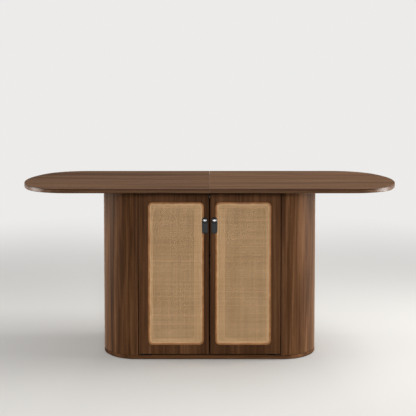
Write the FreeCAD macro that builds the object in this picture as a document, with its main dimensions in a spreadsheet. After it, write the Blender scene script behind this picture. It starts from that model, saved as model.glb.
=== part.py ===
"""Kitchen table with a round-ended storage cabinet, built as separate pieces.

Millimetres, +Z up, the front looks toward -Y. The origin is on the floor under the middle of the top.
"""
import FreeCAD, Part
import math
import os
import Sketcher

# Driving sizes, one named value each
SIZES = {
    # Top
    "table_height": "760",
    "top_length": "1647",
    "top_width": "700",
    "top_thickness": "18",
    "top_end_radius": "583",
    "top_corner_radius": "203",
    "top_edge_radius": "2.5",
    "seam_gap": "0.6",
    "seam_dowel_diameter": "8",
    "seam_dowel_length": "40",
    "seam_dowel_clear": "25",
    "seam_plate_length": "120",
    "seam_plate_width": "40",
    "seam_plate_thickness": "2",
    "seam_screw_inset": "14",
    "seam_screw_pitch": "24",
    # Base cabinet
    "base_width": "942",
    "base_depth": "408",
    "end_flat": "96",
    "plinth_thickness": "16",
    "board_thickness": "18",
    "board_edge_radius": "1",
    "shell_thickness": "15",
    "side_thickness": "18",
    "bay_width": "618",
    "back_thickness": "15",
    "batten_width": "22",
    "batten_depth": "20",
    "shelf_thickness": "16",
    "shelf_height": "345",
    "shelf_side_gap": "1",
    "shelf_back_gap": "1",
    "shelf_setback": "24",
    "shelf_pin_diameter": "5",
    "shelf_pin_reach": "9",
    "shelf_pin_inset": "45",
    # Fastenings of the base
    "dowel_diameter": "8",
    "dowel_in_board": "12",
    "dowel_in_panel": "16",
    "dowel_end_gap": "0.5",
    "shell_dowel_angle": "50",
    "back_dowel_spread": "400",
    "cam_diameter": "15",
    "cam_depth": "12.5",
    "cam_setback": "34",
    "cam_spread": "220",
    "cam_clearance": "0.1",
    "cam_bolt_diameter": "6",
    "cam_bolt_grip": "11",
    "cam_bolt_gap": "0.5",
    "screw_diameter": "4",
    "screw_clearance": "0.1",
    "screw_head_diameter": "8",
    "screw_head_height": "2.4",
    "screw_bite": "11",
    "top_screw_spread_inner": "300",
    "top_screw_spread_outer": "790",
    "top_screw_rows": "200",
    # Floor glides
    "glide_height": "5",
    "glide_let_in": "3",
    "glide_clearance": "0.2",
    "glide_diameter": "30",
    "glide_recess": "3",
    "glide_recess_diameter": "9",
    "glide_spread": "700",
    "glide_rows": "250",
    # Doors
    "door_thickness": "18",
    "door_inset": "1",
    "door_side_gap": "3",
    "door_meeting_gap": "4.8",
    "door_end_gap": "4",
    "door_foot_gap": "6",
    "door_edge_radius": "1",
    "door_member_width": "65",
    "window_corner_radius": "14",
    "recess_hinge_margin": "41",
    "recess_meeting_margin": "22.6",
    "recess_rail_margin": "36.8",
    "recess_foot_margin": "40",
    "recess_depth": "5",
    "recess_corner_radius": "20",
    "cane_thickness": "1.6",
    "cane_clearance": "0.2",
    "bead_width": "7.5",
    "bead_height": "2.6",
    "bead_round": "2.2",
    # Pivots of the doors
    "pivot_setback": "18",
    "pivot_depth": "8",
    "pivot_pin_diameter": "5",
    "pivot_pin_length": "14",
    "pivot_clearance": "0.05",
    "pivot_plate_length": "46",
    "pivot_plate_width": "13",
    "pivot_plate_thickness": "2.4",
    "pivot_plate_nose": "8",
    "pivot_screw_diameter": "3",
    "pivot_screw_head": "6",
    "pivot_screw_bite": "12",
    "pivot_screw_inset": "7",
    "pivot_screw_pitch": "15",
    "bush_diameter": "8",
    "bush_length": "15.4",
    "bush_flange_diameter": "11",
    "bush_flange_thickness": "1.2",
    "bush_foot_thickness": "3.2",
    # Pulls
    "pull_width": "25.4",
    "pull_length": "70",
    "pull_thickness": "5",
    "pull_edge_radius": "1",
    "pull_foot_radius": "8",
    "pull_setback": "18.3",
    "pull_drop": "100",
    "pull_stud_drop": "13",
    "stud_diameter": "15",
    "stud_height": "4.5",
    "stud_rim": "1",
    "post_diameter": "4",
    "nut_diameter": "10",
    "nut_height": "3",
    # Catch
    "catch_length": "58",
    "catch_depth": "20",
    "catch_height": "18",
    "catch_gap": "0.4",
    "catch_screw_inset": "5.5",
    "magnet_length": "16",
    "magnet_height": "8",
    "magnet_depth": "5",
    "strike_length": "22",
    "strike_height": "12",
    "strike_thickness": "1.6",
    "strike_screw_bite": "9",
    "strike_offset": "16",
}

# How near two coordinates count as the same
SAME = 1e-4

doc = FreeCAD.newDocument("kitchen_table")
sheet = doc.addObject("Spreadsheet::Sheet", "dims")
for row, (alias, number) in enumerate(SIZES.items(), start=1):
    sheet.set(f"A{row}", alias)
    sheet.set(f"B{row}", number)
    sheet.setAlias(f"B{row}", alias)
doc.recompute()

# Levels, worked out from the driving sizes
PLINTH_Z = "(dims.glide_height - dims.glide_let_in)"
CARCASS_Z = f"({PLINTH_Z} + dims.plinth_thickness)"
TOP_Z = "(dims.table_height - dims.top_thickness)"
TOP_BOARD_Z = f"({TOP_Z} - dims.board_thickness)"
CARCASS_HEIGHT = f"({TOP_BOARD_Z} - {CARCASS_Z})"
DOOR_Z = f"({CARCASS_Z} + dims.door_foot_gap)"
DOOR_TOP_Z = f"({TOP_BOARD_Z} - dims.door_end_gap)"
SHELF_Z = f"({CARCASS_Z} + dims.shelf_height)"

# Plan of the base
HALF_DEPTH = "(dims.base_depth / 2)"
END_Y = "(dims.end_flat / 2)"
END_RADIUS = f"({HALF_DEPTH} - {END_Y})"
END_X = f"(dims.base_width / 2 - {END_RADIUS})"
END_TIP = "(dims.base_width / 2)"
JAMB_X = "(dims.bay_width / 2)"
SIDE_X = "(dims.bay_width / 2 + dims.side_thickness)"
SHELL_RADIUS = f"({END_RADIUS} - dims.shell_thickness)"
SHELL_MIDDLE = f"({END_RADIUS} - dims.shell_thickness / 2)"
FACE_Y = f"({HALF_DEPTH} - dims.door_inset)"
DOOR_BACK_Y = f"({FACE_Y} - dims.door_thickness)"
BACK_Y = f"({FACE_Y} - dims.back_thickness)"

# Plan of a door, measured outward from the middle of the cabinet
DOOR_NEAR = "(dims.door_meeting_gap / 2)"
DOOR_FAR = f"({JAMB_X} - dims.door_side_gap)"
PIVOT_X = f"({DOOR_FAR} - dims.pivot_setback)"
PIVOT_Y = f"({FACE_Y} - dims.pivot_depth)"
PULL_X = f"({DOOR_NEAR} + dims.pull_setback)"
PULL_HEAD_Z = f"({DOOR_TOP_Z} - dims.pull_drop)"
PULL_FOOT_Z = f"({PULL_HEAD_Z} - dims.pull_length)"
STUD_Z = f"({PULL_HEAD_Z} - dims.pull_stud_drop)"
STRIKE_Z = f"({TOP_BOARD_Z} - dims.catch_height / 2)"

# Shared diameters of holes
SCREW_HOLE = "(dims.screw_diameter + 2 * dims.screw_clearance)"
PIVOT_SCREW_HOLE = "(dims.pivot_screw_diameter + 2 * dims.screw_clearance)"

SIDES = {"left": -1, "right": 1}
nodes = []


def value(text):
    """Return the number that an expression has with the sizes in the sheet."""
    return float(sheet.evalExpression(text))


def times(sign, text):
    """Return the expression on the right side, or its mirror image on the left side."""
    return f"({text})" if sign > 0 else f"(-({text}))"


def span(sign, near, far):
    """Return the lower and the upper bound of a stretch that lies between two distances from the middle."""
    return (near, far) if sign > 0 else (times(sign, far), times(sign, near))


def chord_y(radius, distance):
    """Return how far a rounded corner of the base reaches at a distance from the middle."""
    return f"({END_Y} + sqrt(pow({radius}; 2) - pow({distance} - {END_X}; 2)))"


def bind(item, bindings):
    """Bind properties of an object to expressions."""
    for name, text in bindings.items():
        item.setExpression(name, text)
    return item


def at(x, y, z):
    """Return the bindings of a place."""
    return {"Placement.Base.x": x, "Placement.Base.y": y, "Placement.Base.z": z}


def keep(item, label):
    """Give an object its node name and list it for writing."""
    item.Label = label
    nodes.append(item)
    return item


# Sketches and features

def new_body(label):
    """Start a body that becomes one node."""
    return keep(doc.addObject("PartDesign::Body", label), label)


def sketch_on(body, role, offset="0"):
    """Put a sketch on one of the body's own origin planes, moved along the plane's normal."""
    plane = next(item for item in body.Origin.OriginFeatures if item.Role == role)
    sketch = body.newObject("Sketcher::SketchObject", f"{body.Name}_sketch")
    sketch.AttachmentSupport = [(plane, "")]
    sketch.MapMode = "FlatFace"
    sketch.setExpression("AttachmentOffset.Base.z", offset)
    return sketch


def set_size(sketch, constraint, text):
    """Add a constraint and bind its size."""
    index = sketch.addConstraint(constraint)
    sketch.setExpression(f"Constraints[{index}]", text)


def place_point(sketch, geometry, point, x, y):
    """Fix a sketch point at a place measured from the sketch's origin."""
    set_size(sketch, Sketcher.Constraint("DistanceX", -1, 1, geometry, point, value(x)), x)
    set_size(sketch, Sketcher.Constraint("DistanceY", -1, 1, geometry, point, value(y)), y)


def arc_middle(start, end, radius, outward):
    """Return the middle of the short arc between two points that bulges to the given side."""
    half = (end - start).Length / 2
    rise = radius - math.sqrt(radius * radius - half * half)
    return (start + end) * 0.5 + outward * rise


def draw_loop(sketch, points, arcs=None):
    """Draw a closed loop; arcs maps an edge's number to its radius and to +1 (outward) or -1 (inward)."""
    arcs = arcs or {}
    spots = [FreeCAD.Vector(value(x), value(y), 0) for x, y in points]
    after = spots[1:] + spots[:1]
    area = sum(one.x * two.y - two.x * one.y for one, two in zip(spots, after))
    turn = 1 if area > 0 else -1
    edges = []
    for number, (start, end) in enumerate(zip(spots, after)):
        ends = (1, 2)
        if number in arcs:
            radius, side = arcs[number]
            along = (end - start).normalize()
            outward = FreeCAD.Vector(along.y, -along.x, 0) * (turn * side)
            middle = arc_middle(start, end, value(radius), outward)
            if turn * side > 0:
                curve = Part.Arc(start, middle, end)
            else:
                curve = Part.Arc(end, middle, start)
                ends = (2, 1)
        else:
            curve = Part.LineSegment(start, end)
        edges.append((sketch.addGeometry(curve, False), *ends))
    for one, two in zip(edges, edges[1:] + edges[:1]):
        sketch.addConstraint(Sketcher.Constraint("Coincident", one[0], one[2], two[0], two[1]))
    for (geometry, first, _), (x, y) in zip(edges, points):
        place_point(sketch, geometry, first, x, y)
    for number, (radius, _) in arcs.items():
        set_size(sketch, Sketcher.Constraint("Radius", edges[number][0], value(radius)), radius)


def draw_rectangle(sketch, across, up, radius=None):
    """Draw a rectangle between two bounds each way, with rounded corners if a radius is given."""
    (left, right), (low, high) = across, up
    if radius is None:
        draw_loop(sketch, [(left, low), (right, low), (right, high), (left, high)])
        return
    corners = [
        (f"{left} + {radius}", low), (f"{right} - {radius}", low),
        (right, f"{low} + {radius}"), (right, f"{high} - {radius}"),
        (f"{right} - {radius}", high), (f"{left} + {radius}", high),
        (left, f"{high} - {radius}"), (left, f"{low} + {radius}"),
    ]
    draw_loop(sketch, corners, {number: (radius, 1) for number in (1, 3, 5, 7)})


def draw_circles(sketch, spots, diameter):
    """Draw one circle at each spot."""
    for x, y in spots:
        centre = FreeCAD.Vector(value(x), value(y), 0)
        circle = Part.Circle(centre, FreeCAD.Vector(0, 0, 1), value(diameter) / 2)
        geometry = sketch.addGeometry(circle, False)
        set_size(sketch, Sketcher.Constraint("Diameter", geometry, value(diameter)), diameter)
        place_point(sketch, geometry, 3, x, y)


def pad(body, sketch, length):
    """Raise a sketch along its normal."""
    feature = body.newObject("PartDesign::Pad", f"{body.Name}_pad")
    feature.Profile = sketch
    return bind(feature, {"Length": length})


def pocket(body, sketch, depth, forward=False):
    """Cut a sketch into the body, against the plane's normal or along it."""
    feature = body.newObject("PartDesign::Pocket", f"{body.Name}_pocket")
    feature.Profile = sketch
    feature.Reversed = forward
    return bind(feature, {"Length": depth})


def drill(body, role, offset, spots, diameter, depth, forward=False):
    """Drill round holes from a plane."""
    sketch = sketch_on(body, role, offset)
    draw_circles(sketch, spots, diameter)
    return pocket(body, sketch, depth, forward)


def ease_edges(body, radius, wanted):
    """Round those edges of the body that the test picks by their bounds."""
    doc.recompute()
    base = body.Tip
    names = []
    for number, edge in enumerate(base.Shape.Edges, start=1):
        if wanted(edge.BoundBox):
            names.append(f"Edge{number}")
    feature = body.newObject("PartDesign::Fillet", f"{body.Name}_fillet")
    feature.Base = (base, names)
    return bind(feature, {"Radius": radius})


def level(low, high, wanted):
    """Tell whether both bounds lie at a wanted coordinate."""
    return abs(low - wanted) < SAME and abs(high - wanted) < SAME


# Part primitives and groups

def cylinder(diameter, height, place, axis=None):
    """Add a cylinder that stands along +Z, or along the axis given."""
    item = doc.addObject("Part::Cylinder", "cylinder")
    if axis is not None:
        item.Placement = FreeCAD.Placement(FreeCAD.Vector(), FreeCAD.Rotation(FreeCAD.Vector(0, 0, 1), axis))
    return bind(item, {"Radius": f"{diameter} / 2", "Height": height, **place})


def cone(foot, head, height, place, axis):
    """Add a cone that goes from the foot diameter to the head diameter along an axis."""
    item = doc.addObject("Part::Cone", "cone")
    item.Placement = FreeCAD.Placement(FreeCAD.Vector(), FreeCAD.Rotation(FreeCAD.Vector(0, 0, 1), axis))
    return bind(item, {"Radius1": f"{foot} / 2", "Radius2": f"{head} / 2", "Height": height, **place})


def box(length, width, height, place):
    """Add a box from its low corner."""
    item = doc.addObject("Part::Box", "box")
    return bind(item, {"Length": length, "Width": width, "Height": height, **place})


def cut(base, tools):
    """Cut tools from a shape, one after another."""
    for tool in tools:
        item = doc.addObject("Part::Cut", "cut")
        item.Base = base
        item.Tool = tool
        base = item
    return base


def fuse(*shapes):
    """Join shapes into one solid."""
    item = doc.addObject("Part::MultiFuse", "fusion")
    item.Shapes = list(shapes)
    return item


def group(label, solids):
    """Keep separate solids of one kind as one node."""
    item = doc.addObject("Part::Compound", label)
    item.Links = solids
    return keep(item, label)


UP = FreeCAD.Vector(0, 0, 1)
DOWN = FreeCAD.Vector(0, 0, -1)
FRONT = FreeCAD.Vector(0, -1, 0)
RIGHT = FreeCAD.Vector(1, 0, 0)
LEFT = FreeCAD.Vector(-1, 0, 0)


def pan_screw(x, y, seat, length):
    """Add a screw that points up, with its flat head under the seat level."""
    head = cylinder("dims.screw_head_diameter", "dims.screw_head_height",
                    at(x, y, f"{seat} - dims.screw_head_height"))
    shank = cylinder("dims.screw_diameter", length, at(x, y, seat))
    return fuse(head, shank)


def sunk_screw(x, y, z, thickness, bite, axis, spare="0"):
    """Return a countersunk shape, its head flush at the place given, pointing along the axis.

    The spare is added round it, so the same call makes the screw and the cut that takes it.
    """
    slim = f"(dims.pivot_screw_diameter + 2 * {spare})"
    wide = f"(dims.pivot_screw_head + 2 * {spare})"
    head = cone(wide, slim, thickness, at(x, y, z), axis)
    shank = cylinder(slim, f"{thickness} + {bite}", at(x, y, z), axis)
    return fuse(head, shank)


# Spots that several pieces share

# The joining plates lie midway between the edge of the base and the edge of the top
SEAM_ROW = "((dims.base_depth + dims.top_width) / 4)"
SEAM_DOWEL_STEP = f"(({SEAM_ROW} - dims.seam_plate_width / 2 - dims.seam_dowel_clear) / 2)"


def seam_screw_spots():
    """Return the places of the screws in the joining plates under the seam."""
    near = "(dims.seam_plate_length / 2 - dims.seam_screw_inset)"
    far = f"({near} - dims.seam_screw_pitch)"
    columns = [times(side, x) for side in (-1, 1) for x in (near, far)]
    return [(x, times(end, SEAM_ROW)) for x in columns for end in (-1, 1)]


def top_screw_spots():
    """Return the places of the screws that hold the top to the base."""
    row = "(dims.top_screw_rows / 2)"
    columns = ("(dims.top_screw_spread_inner / 2)", "(dims.top_screw_spread_outer / 2)")
    return [(times(side, x), times(end, row)) for side in (-1, 1) for x in columns for end in (-1, 1)]


def glide_spots():
    """Return the places of the glides, four at the ends and two in the middle."""
    row = "(dims.glide_rows / 2)"
    columns = ("(-dims.glide_spread / 2)", "0", "(dims.glide_spread / 2)")
    return [(x, times(end, row)) for x in columns for end in (-1, 1)]


def shell_dowel_spots(sign):
    """Return the places of the dowels along one curved end."""
    spots = []
    for end in (-1, 1):
        reach = f"{END_X} + {SHELL_MIDDLE} * cos(dims.shell_dowel_angle * 1 deg)"
        side = f"{END_Y} + {SHELL_MIDDLE} * sin(dims.shell_dowel_angle * 1 deg)"
        spots.append((times(sign, reach), times(end, side)))
    spots.append((times(sign, f"{END_X} + {SHELL_MIDDLE}"), "0"))
    return spots


def back_dowel_spots():
    """Return the places of the dowels along the back panel."""
    middle = f"({FACE_Y} - dims.back_thickness / 2)"
    return [(times(side, "dims.back_dowel_spread / 2"), middle) for side in (-1, 1)]


def cam_spots(sign):
    """Return the places of the cam bolts along the edge of one side panel."""
    middle = times(sign, f"{JAMB_X} + dims.cam_depth / 2")
    return [(middle, times(end, "dims.cam_spread / 2")) for end in (-1, 1)]


def carcass_dowel_spots():
    """Return the places of every dowel between the boards and what stands between them."""
    return shell_dowel_spots(-1) + shell_dowel_spots(1) + back_dowel_spots()


def shelf_pin_rows():
    """Return the distances of the shelf pins from the middle, front and back."""
    return [f"(-({DOOR_BACK_Y} - dims.shelf_setback - dims.shelf_pin_inset))",
            f"({BACK_Y} - dims.shelf_pin_inset)"]


DOWEL_BOARD_HOLE = "(dims.dowel_in_board + dims.dowel_end_gap)"
DOWEL_PANEL_HOLE = "(dims.dowel_in_panel + dims.dowel_end_gap)"
CAM_BOARD_HOLE = "(dims.cam_bolt_grip + dims.dowel_end_gap)"
CAM_BOLT_HOLE = "(dims.cam_bolt_diameter + 2 * dims.cam_bolt_gap)"
BITE_HOLE = "(dims.screw_bite + dims.dowel_end_gap)"
GLIDE_HOLE = "(dims.glide_diameter + 2 * dims.glide_clearance)"


# The top

def build_top_half(name, sign):
    """Make one half of the top: straight long sides, soft corners and a shallow arc at the end."""
    body = new_body(f"top_{name}")
    seam = times(sign, "dims.seam_gap / 2")
    side = "(dims.top_width / 2)"
    corner_y = "(dims.top_width / 2 - dims.top_corner_radius)"
    radii = "(dims.top_end_radius - dims.top_corner_radius)"
    middle_x = "(dims.top_length / 2 - dims.top_end_radius)"
    reach = f"sqrt(pow({radii}; 2) - pow({corner_y}; 2))"
    corner_x = times(sign, f"{middle_x} + {reach}")
    touch_x = times(sign, f"{middle_x} + dims.top_end_radius * {reach} / {radii}")
    touch_y = f"(dims.top_end_radius * {corner_y} / {radii})"
    points = [
        (seam, times(-1, side)), (corner_x, times(-1, side)), (touch_x, times(-1, touch_y)),
        (touch_x, touch_y), (corner_x, side), (seam, side),
    ]
    corner, end = ("dims.top_corner_radius", 1), ("dims.top_end_radius", 1)
    sketch = sketch_on(body, "XY_Plane", TOP_Z)
    draw_loop(sketch, points, {1: corner, 2: end, 3: corner})
    pad(body, sketch, "dims.top_thickness")
    flush, low, high = value(seam), value(TOP_Z), value("dims.table_height")

    def rim(bounds):
        flat = level(bounds.ZMin, bounds.ZMax, low) or level(bounds.ZMin, bounds.ZMax, high)
        return flat and not level(bounds.XMin, bounds.XMax, flush)

    ease_edges(body, "dims.top_edge_radius", rim)
    dowel_z = f"({TOP_Z} + dims.top_thickness / 2)"
    spots = [(f"({step} * {SEAM_DOWEL_STEP})", dowel_z) for step in (-2, -1, 0, 1, 2)]
    depth = "(dims.seam_dowel_length / 2 - dims.seam_gap / 2 + dims.dowel_end_gap)"
    drill(body, "YZ_Plane", seam, spots, "dims.seam_dowel_diameter", depth, forward=sign > 0)
    own = [(x, y) for x, y in seam_screw_spots() + top_screw_spots() if value(x) * sign > 0]
    drill(body, "XY_Plane", TOP_Z, own, SCREW_HOLE, BITE_HOLE, forward=True)


def build_top_fittings():
    """Make the dowels, the joining plates and the screws of the top."""
    dowel_z = f"({TOP_Z} + dims.top_thickness / 2)"
    dowels = []
    for step in (-2, -1, 0, 1, 2):
        place = at("-dims.seam_dowel_length / 2", f"{step} * {SEAM_DOWEL_STEP}", dowel_z)
        dowels.append(cylinder("dims.seam_dowel_diameter", "dims.seam_dowel_length", place, RIGHT))
    group("seam_dowels", dowels)
    under = f"({TOP_Z} - dims.seam_plate_thickness)"
    plates = []
    for end in (-1, 1):
        place = at("-dims.seam_plate_length / 2", f"{times(end, SEAM_ROW)} - dims.seam_plate_width / 2", under)
        plate = box("dims.seam_plate_length", "dims.seam_plate_width", "dims.seam_plate_thickness", place)
        holes = [cylinder(SCREW_HOLE, "dims.seam_plate_thickness", at(x, y, under))
                 for x, y in seam_screw_spots() if value(y) * end > 0]
        plates.append(cut(plate, holes))
    group("seam_plates", plates)
    length = "(dims.seam_plate_thickness + dims.screw_bite)"
    group("seam_plate_screws", [pan_screw(x, y, under, length) for x, y in seam_screw_spots()])
    length = "(dims.board_thickness + dims.screw_bite)"
    group("top_screws", [pan_screw(x, y, TOP_BOARD_Z, length) for x, y in top_screw_spots()])


# The base cabinet

def build_board(name, low, thickness):
    """Make a round-ended board of the base, its outer edges eased."""
    body = new_body(name)
    sketch = sketch_on(body, "XY_Plane", low)
    across, along = (times(-1, END_TIP), END_TIP), (times(-1, HALF_DEPTH), HALF_DEPTH)
    draw_rectangle(sketch, across, along, END_RADIUS)
    pad(body, sketch, thickness)
    bottom, top = value(low), value(f"{low} + {thickness}")

    def rim(bounds):
        return level(bounds.ZMin, bounds.ZMax, bottom) or level(bounds.ZMin, bounds.ZMax, top)

    ease_edges(body, "dims.board_edge_radius", rim)
    return body


def pivot_screw_spots(sign):
    """Return the places of the two screws of a pivot plate."""
    first = f"({PIVOT_X} + dims.pivot_plate_nose - dims.pivot_plate_length + dims.pivot_screw_inset)"
    second = f"({first} + dims.pivot_screw_pitch)"
    return [(times(sign, x), times(-1, PIVOT_Y)) for x in (first, second)]


def catch_screw_spots():
    """Return the places of the two screws of the catch, one behind the other."""
    front = f"(-({DOOR_BACK_Y} - dims.strike_thickness - dims.catch_gap))"
    return [("0", f"({front} + dims.catch_depth - dims.catch_screw_inset)"),
            ("0", f"({front} + dims.catch_screw_inset)")]


def build_boards():
    """Make the two boards of the base with the holes that their neighbours need."""
    bolts = cam_spots(-1) + cam_spots(1)
    hinges = pivot_screw_spots(-1) + pivot_screw_spots(1)
    bite = "(dims.pivot_screw_bite + dims.dowel_end_gap)"
    bottom = build_board("bottom_board", PLINTH_Z, "dims.plinth_thickness")
    drill(bottom, "XY_Plane", CARCASS_Z, carcass_dowel_spots(), "dims.dowel_diameter", DOWEL_BOARD_HOLE)
    drill(bottom, "XY_Plane", CARCASS_Z, bolts, "dims.cam_bolt_diameter", CAM_BOARD_HOLE)
    drill(bottom, "XY_Plane", CARCASS_Z, hinges, PIVOT_SCREW_HOLE, bite)
    drill(bottom, "XY_Plane", PLINTH_Z, glide_spots(), GLIDE_HOLE, "dims.glide_let_in", forward=True)
    drill(bottom, "XY_Plane", "dims.glide_height", glide_spots(), SCREW_HOLE, BITE_HOLE, forward=True)
    upper = build_board("top_board", TOP_BOARD_Z, "dims.board_thickness")
    drill(upper, "XY_Plane", TOP_BOARD_Z, carcass_dowel_spots(), "dims.dowel_diameter", DOWEL_BOARD_HOLE, True)
    drill(upper, "XY_Plane", TOP_BOARD_Z, bolts, "dims.cam_bolt_diameter", CAM_BOARD_HOLE, True)
    drill(upper, "XY_Plane", TOP_BOARD_Z, hinges, PIVOT_SCREW_HOLE, bite, True)
    drill(upper, "XY_Plane", TOP_BOARD_Z, catch_screw_spots(), SCREW_HOLE, BITE_HOLE, True)
    drill(upper, "XY_Plane", TOP_BOARD_Z, top_screw_spots(), SCREW_HOLE, "dims.board_thickness", True)


def build_end_shell(name, sign):
    """Make one curved end of the base, with dowel holes in both rims."""
    body = new_body(f"{name}_end_shell")
    outer, inner = chord_y(END_RADIUS, SIDE_X), chord_y(SHELL_RADIUS, SIDE_X)
    edge = times(sign, SIDE_X)
    tip, hollow = times(sign, END_TIP), times(sign, f"{END_X} + {SHELL_RADIUS}")
    near = times(-1, END_Y)
    points = [
        (edge, times(-1, outer)), (tip, near), (tip, END_Y), (edge, outer),
        (edge, inner), (hollow, END_Y), (hollow, near), (edge, times(-1, inner)),
    ]
    arcs = {0: (END_RADIUS, 1), 2: (END_RADIUS, 1), 4: (SHELL_RADIUS, -1), 6: (SHELL_RADIUS, -1)}
    sketch = sketch_on(body, "XY_Plane", CARCASS_Z)
    draw_loop(sketch, points, arcs)
    pad(body, sketch, CARCASS_HEIGHT)
    spots = shell_dowel_spots(sign)
    drill(body, "XY_Plane", CARCASS_Z, spots, "dims.dowel_diameter", DOWEL_PANEL_HOLE, forward=True)
    drill(body, "XY_Plane", TOP_BOARD_Z, spots, "dims.dowel_diameter", DOWEL_PANEL_HOLE)


def build_battens(name, sign):
    """Make the two glued battens in the corners between one curved end and its side panel."""
    edge, far = times(sign, SIDE_X), times(sign, f"{SIDE_X} + dims.batten_width")
    corner = chord_y(SHELL_RADIUS, SIDE_X)
    reach = chord_y(SHELL_RADIUS, f"({SIDE_X} + dims.batten_width)")
    inner = f"({reach} - dims.batten_depth)"
    for place, end in (("front", -1), ("back", 1)):
        body = new_body(f"{name}_{place}_batten")
        points = [(edge, times(end, corner)), (far, times(end, reach)),
                  (far, times(end, inner)), (edge, times(end, inner))]
        sketch = sketch_on(body, "XY_Plane", CARCASS_Z)
        draw_loop(sketch, points, {0: (SHELL_RADIUS, 1)})
        pad(body, sketch, CARCASS_HEIGHT)


def build_side_panel(name, sign):
    """Make one upright beside the doors; its front and back edges follow the round end."""
    body = new_body(f"{name}_side_panel")
    jamb, edge = times(sign, JAMB_X), times(sign, SIDE_X)
    inner, outer = chord_y(END_RADIUS, JAMB_X), chord_y(END_RADIUS, SIDE_X)
    points = [(jamb, times(-1, inner)), (edge, times(-1, outer)), (edge, outer), (jamb, inner)]
    sketch = sketch_on(body, "XY_Plane", CARCASS_Z)
    draw_loop(sketch, points, {0: (END_RADIUS, 1), 2: (END_RADIUS, 1)})
    pad(body, sketch, CARCASS_HEIGHT)
    drill(body, "XY_Plane", CARCASS_Z, cam_spots(sign), CAM_BOLT_HOLE, "dims.cam_setback", forward=True)
    drill(body, "XY_Plane", TOP_BOARD_Z, cam_spots(sign), CAM_BOLT_HOLE, "dims.cam_setback")
    cams = [(y, z) for _, y in cam_spots(sign)
            for z in (f"({CARCASS_Z} + dims.cam_setback)", f"({TOP_BOARD_Z} - dims.cam_setback)")]
    drill(body, "YZ_Plane", jamb, cams, "dims.cam_diameter", "dims.cam_depth", forward=sign > 0)
    pin_z = f"({SHELF_Z} - dims.shelf_pin_diameter / 2)"
    pins = [(y, pin_z) for y in shelf_pin_rows()]
    depth = "(dims.shelf_pin_reach + dims.dowel_end_gap)"
    drill(body, "YZ_Plane", jamb, pins, "dims.shelf_pin_diameter", depth, forward=sign > 0)


def build_back_and_shelf():
    """Make the back panel, the shelf and the pins that the shelf rests on."""
    body = new_body("back_panel")
    sketch = sketch_on(body, "XY_Plane", CARCASS_Z)
    draw_rectangle(sketch, (times(-1, JAMB_X), JAMB_X), (BACK_Y, FACE_Y))
    pad(body, sketch, CARCASS_HEIGHT)
    spots = back_dowel_spots()
    drill(body, "XY_Plane", CARCASS_Z, spots, "dims.dowel_diameter", DOWEL_PANEL_HOLE, forward=True)
    drill(body, "XY_Plane", TOP_BOARD_Z, spots, "dims.dowel_diameter", DOWEL_PANEL_HOLE)
    body = new_body("shelf")
    sketch = sketch_on(body, "XY_Plane", SHELF_Z)
    half = f"({JAMB_X} - dims.shelf_side_gap)"
    front = f"(-({DOOR_BACK_Y} - dims.shelf_setback))"
    draw_rectangle(sketch, (times(-1, half), half), (front, f"({BACK_Y} - dims.shelf_back_gap)"))
    pad(body, sketch, "dims.shelf_thickness")
    pin_z = f"({SHELF_Z} - dims.shelf_pin_diameter / 2)"
    start = f"({JAMB_X} - dims.shelf_pin_reach)"
    pins = []
    for sign, axis in ((-1, LEFT), (1, RIGHT)):
        for y in shelf_pin_rows():
            place = at(times(sign, start), y, pin_z)
            pins.append(cylinder("dims.shelf_pin_diameter", "2 * dims.shelf_pin_reach", place, axis))
    group("shelf_pins", pins)


def build_carcass_fittings():
    """Make the dowels, the cam discs and the cam bolts that hold the base together."""
    length = "(dims.dowel_in_board + dims.dowel_in_panel)"
    low, high = f"({CARCASS_Z} - dims.dowel_in_board)", f"({TOP_BOARD_Z} - dims.dowel_in_panel)"
    dowels = [cylinder("dims.dowel_diameter", length, at(x, y, z))
              for x, y in carcass_dowel_spots() for z in (low, high)]
    group("carcass_dowels", dowels)
    discs, bolts = [], []
    wide = "(dims.cam_diameter - 2 * dims.cam_clearance)"
    deep = "(dims.cam_depth - dims.cam_clearance)"
    length = "(dims.cam_bolt_grip + dims.cam_setback)"
    for sign, axis in ((-1, LEFT), (1, RIGHT)):
        for x, y in cam_spots(sign):
            for centre, foot, bolt_foot in (
                    (f"({CARCASS_Z} + dims.cam_setback)", CARCASS_Z, f"({CARCASS_Z} - dims.cam_bolt_grip)"),
                    (f"({TOP_BOARD_Z} - dims.cam_setback)", f"({TOP_BOARD_Z} - dims.cam_setback)",
                     f"({TOP_BOARD_Z} - dims.cam_setback)")):
                disc = cylinder(wide, deep, at(times(sign, JAMB_X), y, centre), axis)
                way = cylinder("dims.cam_bolt_diameter", "dims.cam_setback", at(x, y, foot))
                discs.append(cut(disc, [way]))
                bolts.append(cylinder("dims.cam_bolt_diameter", length, at(x, y, bolt_foot)))
    group("cam_discs", discs)
    group("cam_bolts", bolts)


def build_glides():
    """Make the floor glides and the screws sunk into them."""
    glides, screws = [], []
    seat = "dims.glide_recess"
    length = "(dims.glide_height - dims.glide_recess + dims.screw_bite)"
    for x, y in glide_spots():
        glide = cylinder("dims.glide_diameter", "dims.glide_height", at(x, y, "0"))
        recess = cylinder("dims.glide_recess_diameter", "dims.glide_recess", at(x, y, "0"))
        hole = cylinder(SCREW_HOLE, "dims.glide_height", at(x, y, "0"))
        glides.append(cut(glide, [recess, hole]))
        screws.append(pan_screw(x, y, seat, length))
    group("floor_glides", glides)
    group("glide_screws", screws)


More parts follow.
